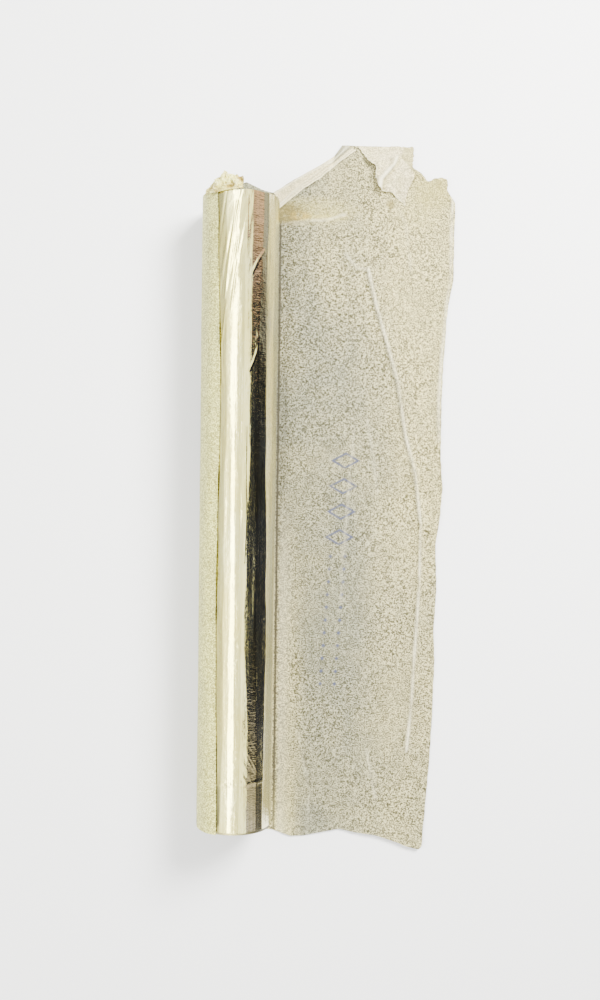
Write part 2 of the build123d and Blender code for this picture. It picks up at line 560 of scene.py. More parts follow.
def board_material(core):
    """Grey-brown board wound in a spiral."""
    s = Shader("spiral board")
    where, x, y, z = s.place()
    fibre = s.speckle(where, 0.8, 3.0, 0.65)
    turn = x.math("ARCTAN2", z - AXIS_Z)
    along = (y + turn * 6.4).math("PINGPONG", 20.0)
    seam = along.at_most(0.35, 0.3)
    colour = s.blend(fibre, core.dark_board, core.light_board)
    colour = s.blend(seam * 0.7, colour, (0.16, 0.12, 0.08))
    return s.finish(s.principled(Base_Color=colour, Roughness=0.85,
                                 Normal=s.bump(fibre - seam, 0.08, 0.6)))


# ---------------------------------------------------------------- settings


def colour_property(name, description, default):
    return FloatVectorProperty(name=name, description=description, default=default,
                               subtype="COLOR", size=3, min=0, max=1)


class TissueSettings(PropertyGroup):
    """The wrapper's tissue."""

    thickness: FloatProperty(
        name="Thickness", description="Thickness of the sheet as meshed", default=0.12 * MM,
        min=0.02 * MM, max=MM, unit="LENGTH", precision=5)
    translucency: FloatProperty(
        name="Translucency", description="Share of the light that comes through the sheet",
        default=0.12, min=0, max=1, subtype="FACTOR")
    # on the open sheet the tone between these two also carries painted light and painted shadow
    grey_colour: colour_property("Thin", "The open sheet where thin", (0.185, 0.184, 0.132))
    cream_colour: colour_property("Thick", "The open sheet where thick", (0.40, 0.36, 0.182))
    lap_colour: colour_property("Over foil", "Tissue with foil behind it", (1.0, 0.93, 0.21))
    doubled_colour: colour_property("Doubled", "Tissue folded on itself", (0.62, 0.555, 0.34))
    # paler broken fibres on crests, and a painted highlight on crests and edges
    pale_crest_and_highlight_colour: colour_property("Crests", "Broken fibres on a crease", (0.97, 0.93, 0.68))
    yellow_colour: colour_property("Yellow", "Aged tissue", (0.55, 0.49, 0.18))
    aged_colour: colour_property("Aged", "The bunched end", (0.88, 0.81, 0.25))
    # also the painted shade in the bunched end's valleys
    orange_colour: colour_property("Orange", "Deepest stain", (0.36, 0.27, 0.065))
    stain_colour: colour_property("Stain", "Brown stains", (0.23, 0.19, 0.07))
    mark_colour: colour_property("Marks", "Ink of the plain marks", (0.05, 0.06, 0.14))
    glow_colour: colour_property("Glow", "Light through the tissue", (0.62, 0.58, 0.40))


class FoilSettings(PropertyGroup):
    """The foil's outer turn."""

    wrinkle: FloatProperty(
        name="Wrinkle height", description="Height of the largest wrinkles", default=0.22 * MM,
        min=0, max=MM, unit="LENGTH", precision=5)
    flatness: FloatProperty(
        name="Flatness", description="How flat the facets between the long creases are",
        default=0.78, min=0, max=1, subtype="FACTOR")
    tint: colour_property("Tint", "The foil's colour", (0.90, 0.84, 0.54))
    pale: colour_property("Pale tint", "The foil where it is palest", (0.94, 0.92, 0.76))
    drawn_colour: colour_property("Drawn lines", "Long dull streaks", (0.60, 0.55, 0.33))
    # painted shade: the colour of the dark line on the foil beside the lap's edge, where the gap
    # under it is in shadow
    lap_shadow_colour: colour_property("Seam", "The pressed line by the lap", (0.10, 0.10, 0.12))


class CoreSettings(PropertyGroup):
    """The cardboard core."""

    light_board: colour_property("Light fibres", "Light fibres", (0.36, 0.275, 0.18))
    dark_board: colour_property("Dark fibres", "Dark fibres", (0.19, 0.145, 0.09))


class StudioSettings(PropertyGroup):
    """Camera, lights and floor."""

    camera_height: FloatProperty(
        name="Camera height", description="Height above the floor", default=0.5,
        min=0.2, max=2, unit="LENGTH")
    lens: FloatProperty(
        name="Lens", description="Focal length in millimetres", default=35.86, min=10, max=200)
    key_power: FloatProperty(
        name="Key light", description="Power of the main light in watts", default=42.0, min=0)
    fill_strength: FloatProperty(
        name="Fill", description="Strength of the even light", default=1.1, min=0)
    tent_strength: FloatProperty(
        name="Tent", description="Brightness of the brightest panel that the foil reflects",
        default=20.0, min=0)


# ---------------------------------------------------------------- pieces


def add_cylinder(name, vertices, radius, low, high, ends):
    """A cylinder round the roll's axis, between the ends of a box."""
    deselect()
    bpy.ops.mesh.primitive_cylinder_add(
        vertices=vertices, radius=radius, depth=high.y - low.y, end_fill_type=ends,
        location=(0, (high.y + low.y) / 2, AXIS_Z * MM), rotation=(math.pi / 2, 0, 0))
    piece = bpy.context.object
    piece.name = name
    bpy.ops.object.transform_apply(location=True, rotation=True, scale=True)
    return piece


def finish_piece(piece, material, nodes):
    piece.data.materials.clear()
    piece.data.materials.append(material)
    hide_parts(*nodes)


def finish_tissue(piece, tissue, name, colours, contrast, nodes, printed=False):
    """Thickens a shaped sheet and gives it tissue that goes from thin to thick colours."""
    thicken(piece, tissue.thickness / MM)
    material = tissue_material(name, tissue, *colours, contrast, printed)
    finish_piece(piece, material, nodes)


def taper(y):
    """How much wider the roll is than its mean radius: it widens towards +Y."""
    return WIDENING * y / HALF_ROLL


def around_roll(radius, degrees):
    angle = np.radians(degrees)
    return radius * np.sin(angle), AXIS_Z + radius * np.cos(angle)


class ROLL_OT_core_tube(Operator):
    """Cardboard tube with softened edges"""

    bl_idname = "foil_roll.core_tube"
    bl_label = "Core Tube"

    def execute(self, context):
        outer = (CORE_HIGH.x - CORE_LOW.x) / 2
        tube = add_cylinder("cardboard_core", 96, outer, CORE_LOW, CORE_HIGH, "NOTHING")
        set_mode("EDIT")
        bpy.ops.mesh.select_all(action="SELECT")
        bpy.ops.mesh.normals_make_consistent(inside=False)
        set_mode("OBJECT")
        apply_modifier(tube, "SOLIDIFY", thickness=1.5 * MM, offset=-1.0)
        apply_modifier(tube, "BEVEL", width=0.3 * MM, segments=2)
        smooth_shading(tube)
        finish_piece(tube, board_material(context.scene.foil_roll_core), ["core_tube"])
        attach(tube, "roll")
        return {"FINISHED"}


class ROLL_OT_foil_winding(Operator):
    """The inner turns, with their uneven wound ends"""

    bl_idname = "foil_roll.foil_winding"
    bl_label = "Foil Winding"
    room_for_facets = 0.5
    rings = 22

    def execute(self, context):
        outer = (WINDING_HIGH.x - WINDING_LOW.x) / 2 - self.room_for_facets * MM
        inner = (CORE_HIGH.x - CORE_LOW.x) / 2
        winding = add_cylinder("foil_winding_turns", 128, outer, WINDING_LOW, WINDING_HIGH, "NGON")
        rng = np.random.default_rng(4)
        step = (outer - inner) / self.rings
        set_mode("EDIT")
        bpy.ops.mesh.select_mode(type="FACE")
        for _ in range(self.rings):
            self.select_end_discs(winding)
            bpy.ops.mesh.inset(thickness=step * 0.35, depth=0)
            bpy.ops.mesh.inset(thickness=step * 0.65, depth=rng.uniform(-0.09, 0.09) * MM)
        self.select_end_discs(winding)
        bpy.ops.mesh.delete(type="ONLY_FACE")
        bpy.ops.mesh.select_mode(type="EDGE")
        bpy.ops.mesh.select_all(action="DESELECT")
        bpy.ops.mesh.select_non_manifold()
        bpy.ops.mesh.bridge_edge_loops()
        set_mode("OBJECT")
        smooth_shading(winding, 25.0)
        finish_piece(winding, winding_material(), ["foil_winding"])
        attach(winding, "roll")
        return {"FINISHED"}

    @staticmethod
    def select_end_discs(winding):
        """Selects the two many-sided faces that close the ends."""
        set_mode("OBJECT")
        for face in winding.data.polygons:
            face.select = len(face.vertices) > 4
        set_mode("EDIT")


FACET_STATIONS = [-150, -100, -50, 0, 50, 100, 150]
# Angles of the long creases between facets, at each station along the roll or all along it.
FACET_CORNERS = [
    -66,
    [-38, -36, -38, -38, -35, -38, -42],
    [-22, -16, -18, -18.5, -16, -18, -20],
    [-9, -8, -8.5, -8, -10, -8, -9],
    [-1, 0, -1, -2, -4, 0, 1],
    [10, 11, 7, 9, 8, 10, 12],
    [21, 22.5, 13.5, 18.5, 19.5, 21.5, 20.5],
    [37, 36, 31, 33, 32, 32, 39],
    [50, 53, 54, 50, 47, 44, 49],
    [73, 74, 72, 68, 65, 63, 66],
    81, 92, 112, 136, 160, 186, 214, 248, 296, 332,
]


def facet_dip(degrees, y, radius):
    """How far the foil lies inside a true circle: flat facets between wandering creases."""
    corners = [np.interp(y, FACET_STATIONS, np.broadcast_to(corner, len(FACET_STATIONS)))
               + 1.1 * noise(y / 17, index + 0.0 * y, 11)
               for index, corner in enumerate(FACET_CORNERS)]
    dip = np.zeros(np.shape(degrees))
    for low, high in zip(corners, corners[1:]):
        middle, half = (low + high) / 2, (high - low) / 2
        within = (degrees >= low) & (degrees <= high)
        offset = np.radians(np.clip(degrees - middle, -half, half))
        flat = radius * (1 - np.cos(np.radians(half)) / np.cos(offset))
        dip = np.where(within, flat, dip)
    return dip


class ROLL_OT_foil_outer_turn(Operator):
    """The last turn of foil: facets, wrinkles, creases and a free edge under the lap"""

    bl_idname = "foil_roll.foil_outer_turn"
    bl_label = "Foil Outer Turn"
    # shares of the way across the mesh, and the angle at each: finest where the foil shows
    column_angles = ([0, 0.06, 0.76, 1], [-62, -40, 100, 322])
    crest_room = 0.23  # between the crests and the middle of the tissue
    far_side_room = 0.06

    def execute(self, context):
        foil = context.scene.foil_roll_foil
        turn = add_grid("foil_last_turn", 204, 446)
        across, along = grid_shares(turn)
        degrees = np.interp(across, *self.column_angles)
        y = (TURN_LOW.y + along * (TURN_HIGH.y - TURN_LOW.y)) / MM
        radius = ROLL_RADIUS + taper(y) - 0.2 * across
        arc = np.radians(degrees) * ROLL_RADIUS
        radius -= foil.flatness * facet_dip(degrees, y, ROLL_RADIUS)
        radius += self.wrinkles(arc, degrees, y) * foil.wrinkle / MM
        # crests stay clear of the tissue when the roll is turned, most of all on the far side
        far_side = smooth((degrees - 74) / 8)
        far_limit = ROLL_RADIUS + taper(y) - self.far_side_room
        limit = (LAP_RADIUS - self.crest_room) * (1 - far_side) + far_limit * far_side
        radius = np.minimum(radius, limit)
        y = y + self.torn_end(degrees, along)
        x, z = around_roll(radius, degrees)
        shape(turn, x, y, z)
        beyond_lap = (degrees + lap_edge_degrees(y)) * math.radians(ROLL_RADIUS)
        # a mask for painted shade beside the lap's edge, where the gap under the lap is in shadow
        add_attributes(turn, seam=self.seam(beyond_lap, y))
        uv = turn.data.uv_layers.active or turn.data.uv_layers.new()
        corners = np.zeros(len(turn.data.loops), int)
        turn.data.loops.foreach_get("vertex_index", corners)
        uv.data.foreach_set("uv", np.stack([arc, y], 1)[corners].ravel() * MM)
        thicken(turn, 0.06)
        finish_piece(turn, foil_material(foil), ["foil_outer_turn"])
        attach(turn, "roll")
        return {"FINISHED"}

    @staticmethod
    def seam(beyond_lap, y):
        """Painted shade: a dark line on the foil beside the lap's edge, where the gap under the
        lap is in shadow, broken here and there and widest near the -Y end.
        """
        strength = np.interp(y, [-150, -60, 20, 70, 110, 150], [0.8, 0.6, 0.5, 0.25, 0.1, 0.5])
        strength = bounded(strength + 0.45 * line_noise(y / 8, 28))
        width = 0.5 + 0.45 * bounded(line_noise(y / 14, 29))
        width += 1.1 * smooth((RING_Y - y) / 2) * smooth((y + 148) / 3)
        return strength * bounded(1.4 - np.abs(beyond_lap - 0.1) / width)

    @staticmethod
    def wrinkles(arc, degrees, y):
        """Heights of the wrinkles as shares of the largest one."""
        height = 0.24 * noise(arc / 2.0, y / 30, 21) + 0.06 * noise(arc / 0.9, y / 9, 22)
        height += 0.08 * noise(arc / 3.0, y / 1.6, 30) + 0.06 * noise(arc / 1.8, y / 3, 32)
        # a fan of slanting wrinkles at the +Y end
        fan = smooth((y - 92) / 30) * smooth((degrees + 34) / 8) * smooth((30 - degrees) / 14)
        slant = arc * 0.95 - y * 0.16
        height += fan * 1.1 * (np.abs(noise(slant / 1.7, y / 30, 23)) - 0.3)
        # short wrinkles above the ring crease at the -Y end
        low = smooth((y - RING_Y) / 2) * smooth((-103 - y) / 12)
        low = low * smooth((degrees - 8) / 8) * smooth((50 - degrees) / 8)
        height += low * 0.7 * np.abs(noise((arc + y * 0.6) / 0.8, y / 9, 24))
        ring_y = RING_Y + 1.3 * line_noise(arc / 4, 25)
        height += 0.9 * bounded(1 - np.abs(y - ring_y) / 1.1)
        height -= 0.4 * smooth((ring_y - y) / 1.5)
        for points, width, rise in ROLL_CREASES:
            height += rise * ridge(arc, y, points, width)
        knot = np.exp(-(((arc - 10) / 2.6) ** 2 + ((y - 80) / 5) ** 2))
        return height + knot * 1.8 * creased_noise(arc / 1.6, y / 1.6, 26)

    @staticmethod
    def torn_end(degrees, along):
        """The foil's two ends are a little ragged."""
        ends = smooth((along - 0.985) / 0.015) - smooth((0.015 - along) / 0.015)
        return ends * (0.35 * noise(degrees / 9, along * 2, 27))


# Creases in the foil: points as arc from the top and Y, half width and height.
ROLL_CREASES = [
    ([(6.4, 112), (9.2, 118), (12.8, 123)], 0.9, 1.6),
    ([(5.2, 66), (7.2, 70), (9.2, 76)], 0.8, 1.2),
    ([(-7.5, 60), (-8.2, 78), (-6.0, 96)], 0.7, 0.6),
    ([(4.4, 40), (4.2, 20), (4.8, -2), (4.0, -24)], 0.6, 0.7),
    ([(-10.2, 21), (-9.4, 30)], 0.7, 0.9),
    ([(10.6, -40), (11.0, -80), (10.4, -120)], 0.6, 0.4),
    ([(-1.0, 145), (-4.4, 120), (-6.6, 100)], 0.8, 0.9),
    ([(0.4, 140), (-1.0, 116), (-3.4, 95)], 0.8, 0.7),
    ([(4.0, 148), (3.6, 128)], 0.7, 0.6),
]

# Places along the roll, and the cut edge's angle left of the top at each.
LAP_EDGE = ([-150, -95, -42, 6, 52, 99, 150], [25.5, 28.5, 30, 28.5, 26.5, 30, 34.5])


def lap_edge_degrees(y):
    """The cut edge's angle left of the top, with small waves."""
    return np.interp(y, *LAP_EDGE) + 0.6 * line_noise(y / 14, 31)


def sheet_height(x, y):
    """Height of the tissue over the surface, where it lies open."""
    free = smooth((x - 17) / 9)
    waves = 0.55 * (noise(x / 42, y / 55, 41) + 0.8) + 0.16 * (noise(x / 11, y / 17, 42) + 0.9)
    waves += 0.07 * (noise(x / 3.4, y / 4.5, 43) + 1)
    waves += 0.1 * creased_noise(x / 14, y / 22, 49)
    edge = bounded((x - 84) / 20) ** 2 * 0.9 * (noise(x / 60, y / 26, 44) + 1)
    end = bounded((np.abs(y) - 148) / 18) ** 2 * 1.1 * (noise(x / 16, y / 40, 45) + 1)
    height = waves + edge + end
    for points, half_width, rise in CREASES:
        height += rise * ridge(x, y, points, half_width)
    height += 0.9 * ridge(x, y, EDGE_CURL, 1.8)
    at_fold_line = smooth((y - 172) / 11) * smooth((x - 50) / 6)
    return RESTING + free * height * (1 - 0.8 * at_fold_line)


def crests_and_roll_light(x, y):
    """1 on the creases' crests, where the tissue's fibres are broken and pale and a highlight is
    painted; also painted light on the sheet beside the roll.
    """
    total = np.zeros(np.shape(x))
    for points, _, rise in [*CREASES, (EDGE_CURL, 0, 0.8)]:
        worn = 0.6 + 0.4 * noise(x / 7, y / 7, 46)
        total = np.maximum(total, min(1, rise) * worn * ridge(x, y, points, 1.2))
    # painted light: the sheet beside the lower part of the roll is paler, as if lit by the foil
    painted_light_by_roll = 0.25 * smooth((x - 19) / 1.5) * smooth((28 - x) / 7) * smooth((20 - y) / 60)
    return np.maximum(total, painted_light_by_roll)


def sheet_tone(x, y):
    """0 where the open sheet is thin and grey, 1 where it is thick and cream; it also holds
    painted light beside the roll and painted shadow beside the main crease and the turned-up edge.
    """
    right = smooth((x - 50) / 45) * (0.62 + 0.25 * smooth((y + 60) / 80))
    top = 0.45 * smooth((y - 60) / 60) * smooth((x - 28) / 20)
    # painted light: the sheet is lighter beside the lower part of the roll
    painted_roll_light = 0.75 * smooth((36 - x) / 14) * smooth((10 - y) / 90)
    # painted shadow: darker lines just left of the main crease and of the turned-up edge
    painted_crease_shadow = 0.6 * ridge(x + 1.0, y, MAIN_CREASE[2:], 0.9)
    painted_crease_shadow += 0.4 * ridge(x + 0.9, y, EDGE_CURL, 0.8)
    cloud = 0.16 * noise(x / 18, y / 26, 47) + 0.10 * noise(x / 5, y / 6, 48)
    return bounded(0.12 + right + top + painted_roll_light + cloud - painted_crease_shadow)


class ROLL_OT_wrapper_left(Operator):
    """The tissue under the roll, up its left side and over it to the cut edge"""

    bl_idname = "foil_roll.wrapper_left"
    bl_label = "Wrapper Under and Over the Roll"

    def execute(self, context):
        tissue = context.scene.foil_roll_tissue
        curl = LAP_RADIUS + FLAT_LEFT_X
        wall = AXIS_Z - curl
        wrapper = add_grid("wrapper_round_roll", 84, 330)
        across, along = grid_shares(wrapper)
        rough_y = -LAP_END + along * 2 * LAP_END
        edge = lap_edge_degrees(rough_y)
        lap = np.radians(90 - edge) * LAP_RADIUS
        lengths = [lap, wall, curl * math.pi / 2, SEAM_X - FLAT_LEFT_X]
        path = across * sum(lengths)
        over, upright, turning, flat = (
            np.clip(path - sum(lengths[:i]), 0, lengths[i]) for i in range(4))
        degrees = edge + np.degrees(over / LAP_RADIUS)
        lift = self.edge_lift(over, rough_y)
        # the lap is pressed closer to the roll near its cut edge
        bordering = 0.5 * (1 - smooth(over / 6))
        radius = LAP_RADIUS - bordering + lift + 0.08 * (noise(path / 6, rough_y / 14, 51) + 1)
        radius = np.maximum(radius, ROLL_RADIUS + 0.09)
        x, z = around_roll(radius + taper(rough_y), -degrees)
        bend = turning / curl
        x = np.where(path > lengths[0], FLAT_LEFT_X - curl * np.cos(bend) + flat, x)
        z = np.where(path > lengths[0], AXIS_Z - upright - curl * np.sin(bend), z)
        loose = smooth((path - lengths[0]) / 4) * smooth((sum(lengths[:3]) - path) / 6)
        x = x + loose * 0.35 * noise(path / 7, rough_y / 20, 52)
        z = np.maximum(z, RESTING)
        bottom = np.interp(x, [-15, -6, 3, SEAM_X], [-151.3, -154, -157.5, -159])
        top = np.interp(x, [-16, -11, -5, 1, 8.8, SEAM_X], [151.5, 157, 163, 165.2, 161.5, 160.5])
        low_part = smooth((AXIS_Z - z) / 8)
        bottom = -LAP_END + (bottom + LAP_END) * low_part
        top = LAP_END + (top - LAP_END) * low_part
        y = bottom + along * (top - bottom)
        shape(wrapper, x, y, z)
        # painted highlight: the cut edge is whitened as if catching the light
        cut_edge = 0.7 * bounded(1 - over / 0.5) * (path > 0)
        over_foil = smooth((lengths[0] + wall - path) / 4)
        # painted light: the lap over the foil is lighter towards its cut edge on top of the roll,
        # and lighter towards -Y
        brighter = 0.72 + 0.28 * smooth(1 - over / lengths[0]) * smooth((70 - y) / 180 + 0.45)
        like_open = 0.32 * sheet_tone(np.maximum(x, 12.0), y)
        tone = over_foil * brighter + (1 - over_foil) * like_open
        tone += over_foil * 0.12 * noise(path / 5, y / 12, 54)
        add_attributes(wrapper, crease=cut_edge, tone=bounded(tone))
        finish_tissue(wrapper, tissue, "tissue over foil", (tissue.grey_colour, tissue.lap_colour),
                      0.7, ["wrapper_bed", "wrapper_lap"])
        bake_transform(wrapper)
        return {"FINISHED"}

    @staticmethod
    def edge_lift(over, y):
        """The cut edge stands off the foil in a few short places."""
        near = bounded(1 - over / 3.0) ** 2
        lift = 0.05 * (line_noise(y / 11, 53) + 1)
        for centre, half_length, rise in (
                (83, 6, 0.5), (15, 8, 0.7), (-28, 14, 0.9), (-48, 4, 0.5)):
            lift += rise * bell(y - centre, half_length)
        return near * lift


class ROLL_OT_end_crumple(Operator):
    """Bunched tissue past the roll's +Y end"""

    bl_idname = "foil_roll.end_crumple"
    bl_label = "End Crumple"

    def execute(self, context):
        tissue = context.scene.foil_roll_tissue
        crumple = add_grid("wrapper_bunched_end", 120, 70)
        across, along = grid_shares(crumple)
        degrees = -64 + 69 * across
        reach = np.interp(degrees, [-64, -50, -42, -31, -22, -12, 5],
                          [4.0, 7.6, 9.8, 10.8, 9.6, 8.0, 7.2])
        start = np.interp(degrees, [-64, -33, 5], [150.2, 149.4, 150.6])
        y = start + along * reach
        angle = degrees * 0.31
        lumps = creased_noise(angle / 4.2, y / 3.4, 61) - 0.35
        folds = creased_noise(angle / 1.7 + y / 4, y / 2.0, 62) - 0.35
        bunched = smooth(along * 5) * (3.0 * lumps + 1.7 * folds)
        radius = LAP_RADIUS + 0.6 - 5.0 * along**1.8 + bunched
        y = y + smooth(along * 3) * 0.7 * noise(angle / 1.6, y / 2, 63)
        degrees = degrees + smooth(along * 3) * 2.5 * noise(angle / 2.4, y / 2.2, 64)
        radius = np.clip(radius, 11.8, LAP_RADIUS + 1.3)
        x, z = around_roll(radius, degrees)
        shape(crumple, x, y, z)
        # painted shade: darker orange down in the valleys between folds, with random patches; the
        # fold crests get a painted highlight
        painted_valley_shade = 0.5 - 1.1 * (folds + lumps) + 0.6 * noise(angle / 2.5, y / 2.5, 65)
        add_attributes(crumple, crease=bounded(folds * 1.3 + lumps * 0.6 - 0.05),
                       tone=bounded(painted_valley_shade))
        colours = (tissue.aged_colour, tissue.orange_colour)
        finish_tissue(crumple, tissue, "yellowed tissue", colours, 0.3, ["wrapper_end_crumple"])
        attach(crumple, "lap")
        return {"FINISHED"}


class ROLL_OT_open_flap(Operator):
    """The tissue lying open to the right, with its creases and torn edges"""

    bl_idname = "foil_roll.open_flap"
    bl_label = "Open Flap"

    def execute(self, context):
        tissue = context.scene.foil_roll_tissue
        outline = [*FLAP_BOTTOM, *ragged_run(FLAP_RIGHT, 3.0, 0.18, 71),
                   *ragged_run(FLAP_TOP[:8], 1.2, 0.5, 72), *FLAP_TOP[8:]]
        flap = cut_sheet("wrapper_open_sheet", outline, (0.76, 0.95))
        x, y, _ = coordinates(flap.data).T
        shape(flap, x, y, sheet_height(x, y))
        add_attributes(flap, crease=crests_and_roll_light(x, y), tone=sheet_tone(x, y))
        finish_tissue(flap, tissue, "tissue", (tissue.grey_colour, tissue.cream_colour), 0.88,
                      ["wrapper_open_flap"], printed=True)
        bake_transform(flap)
        return {"FINISHED"}


def ragged_run(points, step, depth, seed):
    """An open run of the outline, torn between its points."""
    closing = max(1, round(math.dist(points[-1], points[0]) / step))
    return ragged(points, step, depth, seed)[:-closing]


class ROLL_OT_top_fold(Operator):
    """The strip folded over along the slanting top edge"""

    bl_idname = "foil_roll.top_fold"
    bl_label = "Top Fold"

    def execute(self, context):
        tissue = context.scene.foil_roll_tissue
        fold = add_grid("wrapper_folded_strip", 160, 40)
        along, across = grid_shares(fold)
        stations = [0, 0.3, 0.52, 0.74, 1]
        outer = [np.interp(along, stations, side) for side in zip(*FOLD_OUTER)]
        inner = [np.interp(along, stations, side) for side in zip(*FOLD_INNER)]
        x = outer[0] + across * (inner[0] - outer[0])
        y = outer[1] + across * (inner[1] - outer[1])
        wave = 0.55 * line_noise(along * 11, 81) * across
        x, y = x + wave * 0.5, y + wave
        twist = bell(along - 0.72, 0.05)
        puff = np.sin(np.pi * bounded(across) ** 0.6) * (1.2 - 0.7 * twist)
        wander = 0.1 * line_noise(along * 5, 82)
        pleats = np.zeros(len(x))
        for place, drift, rise in ((0.28, 0.5, 0.8), (0.55, -0.35, 1.0), (0.8, 0.1, 0.7)):
            line = place + drift * (along - 0.5) + wander
            pleats += rise * bounded(1 - np.abs(across - line) / 0.11)
        lip = 0.8 * bounded((across - 0.84) / 0.16)
        z = sheet_height(x, y) + 0.12 + puff + 0.85 * pleats * smooth(across * 5) + lip
        shape(fold, x, y, z)
        beyond_twist = smooth((along - 0.74) / 0.05)
        # the pleat crests and the lip get paler fibres and a painted highlight
        add_attributes(fold, crease=bounded(0.8 * pleats + lip) * (0.55 + 0.3 * twist),
                       tone=1 - 0.85 * beyond_twist * smooth((0.75 - across) / 0.2))
        finish_tissue(fold, tissue, "doubled tissue", (tissue.grey_colour, tissue.doubled_colour),
                      0.3, ["wrapper_top_fold"])
        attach(fold, "open_flap")
        return {"FINISHED"}


class ROLL_OT_torn_flap(Operator):
    """The torn piece folded back at the top right"""

    bl_idname = "foil_roll.torn_flap"
    bl_label = "Torn Flap"

    def execute(self, context):
        tissue = context.scene.foil_roll_tissue
        outline = ragged(TORN_OUTLINE, 1.0, 0.38, 91)
        flap = cut_sheet("wrapper_torn_piece", outline, (0.35, 0.35))
        x, y, _ = coordinates(flap.data).T
        from_fold = bounded((FOLD_LINE_Y - y) / 30)
        rise = 0.16 + 1.5 * smooth(from_fold * 2.2) * (0.75 + 0.25 * noise(x / 9, y / 9, 92))
        folds = 1.5 * creased_noise(x / 6.5, y / 5.5, 93) * smooth(from_fold * 4)
        inner_crease = [(68.4, 160), (69, 166), (72, 169.5), (75.2, 173.5), (77.2, 179)]
        left = np.interp(y, *zip(*((b, a) for a, b in inner_crease))) - x
        below_fold = smooth((180 - y) / 4)
        layer = smooth(left / 0.5 + 0.5) * below_fold
        curl = layer * (0.5 + 1.5 * bell(left - 1.4, 1.7))
        gutter = ridge(x - 0.9, y, inner_crease, 1.6) * (1 - layer)
        tip = smooth((162 - y) / 6)
        z = sheet_height(x, y) + rise + folds + curl - 0.5 * gutter - 1.3 * tip
        shape(flap, x, y, z)
        crest = layer * bell(left - 0.5, 0.7)
        lobe = layer * smooth((174 - y) / 3) * bell(left - 1.6, 1.3)
        edge_line = ridge(x, y, TORN_OUTLINE[:9], 0.8)
        # pale fibres and a painted highlight on the folded layer's edge, its curled lobe and the
        # torn edge
        pale = bounded(0.8 * crest + 0.5 * lobe + 0.5 * edge_line)
        thin_from = np.interp(y, [166, 169.7, 177.6, 184], [88, 84.5, 78.3, 80.1])
        thin = smooth((x - thin_from) / 0.8 + 0.5)
        mottle = 0.3 * noise(x / 3, y / 3, 94) + 0.15 * noise(x / 1.2, y / 1.2, 95)
        # painted shade: darker in the gutter beside the inner crease
        tone = 0.8 - 0.9 * thin - 0.6 * gutter + mottle
        add_attributes(flap, crease=pale, tone=bounded(tone))
        finish_tissue(flap, tissue, "torn tissue", (tissue.cream_colour, tissue.doubled_colour),
                      0.42, ["wrapper_torn_flap"])
        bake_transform(flap)
        return {"FINISHED"}


# ---------------------------------------------------------------- stage

# What the foil sees round it: degrees from straight up, positive towards +X, and brightness.
TENT_BANDS = [
    (-180, 0.9), (-110, 0.7), (-90, 0.5), (-78, 0.8), (-66, 1.3), (-52, 1.9), (-40, 3.0),
    (-30, 3.8), (-22, 6.0), (-18, 20), (-9, 20), (-4, 4.5), (4, 2.4), (12, 2.0), (20, 3.8),
    (30, 3.8), (33, 1.2), (37, 0.06), (52, 0.02), (66, 0.014), (78, 0.025), (88, 0.05),
    (112, 0.06), (180, 0.9),
]
TENT_RADIUS = 0.56  # in metres, as the next two are
TENT_LENGTH = 2.6
CARD_START = 0.108  # the floor card begins here, just past the wrapper
TENT_SPREAD = 112  # degrees from straight up to the tent's long edges
BEYOND_TOP = (1.42, 0.93, 0.66)  # brown panel past the +Y end
BEYOND_TOP_SIDE = (0.82, 0.80, 0.68)  # grey panel low down, towards the +Y end
BEYOND_BOTTOM = (1.1, 0.98, 0.74)  # dull panel past the -Y end
CAMERA_XY = (0.0297, 0.0060)  # over the middle of the object
CAMERA_ROLL = 0.69  # degrees


def tent_material(strength):
    """Bright, dark and brown panels in bands along the roll."""
    s = Shader("studio tent")
    where, x, y, z = s.place()
    turn = x.math("ARCTAN2", z - AXIS_Z)
    ramp = s.tree.nodes.new("ShaderNodeValToRGB")
    stops = ramp.color_ramp.elements
    while len(stops) < len(TENT_BANDS):
        stops.new(0.5)
    for stop, (degrees, level) in zip(stops, TENT_BANDS):
        stop.position = (degrees + 180) / 360
        tint = (1.0, 0.965, 0.52) if level > 0.3 else (1.0, 1.1, 1.5)
        stop.color = (*(level * part / strength for part in tint), 1)
    s.tree.links.new((turn / (2 * math.pi) + 0.5).socket, ramp.inputs[0])
    bands = Value(s, ramp.outputs[0])
    dark_side = ((turn - 0.55) * 8.0).clamped()
    low_side = ((turn - 1.31) * 12.0).clamped()
    beyond_side = ((y - 120.0) / 110.0).clamped() * low_side
    beyond_top = ((y - 252.0) / 24.0).clamped() * dark_side * ((1.38 - turn) * 8.0).clamped()
    beyond_bottom = ((-250.0 - y) / 60.0).clamped() * dark_side
    beyond_bottom = beyond_bottom * (((1.3 - turn) * 4.0).clamped() * 0.85 + 0.15)
    colour = s.blend(beyond_top, bands, scaled(BEYOND_TOP, 1 / strength))
    colour = s.blend(beyond_side, colour, scaled(BEYOND_TOP_SIDE, 1 / strength))
    colour = s.blend(beyond_bottom, colour, scaled(BEYOND_BOTTOM, 1 / strength))
    uneven = s.speckle(where, 60.0, 2.0, 0.5)
    colour = s.blend((uneven - 0.35).clamped() * 0.8, colour, (0.0, 0.0, 0.0))
    return s.lit_panel(colour, strength)


def hide_but_in_reflections(panel):
    panel.visible_camera = False
    panel.visible_diffuse = False
    panel.visible_shadow = False
    panel.visible_transmission = False


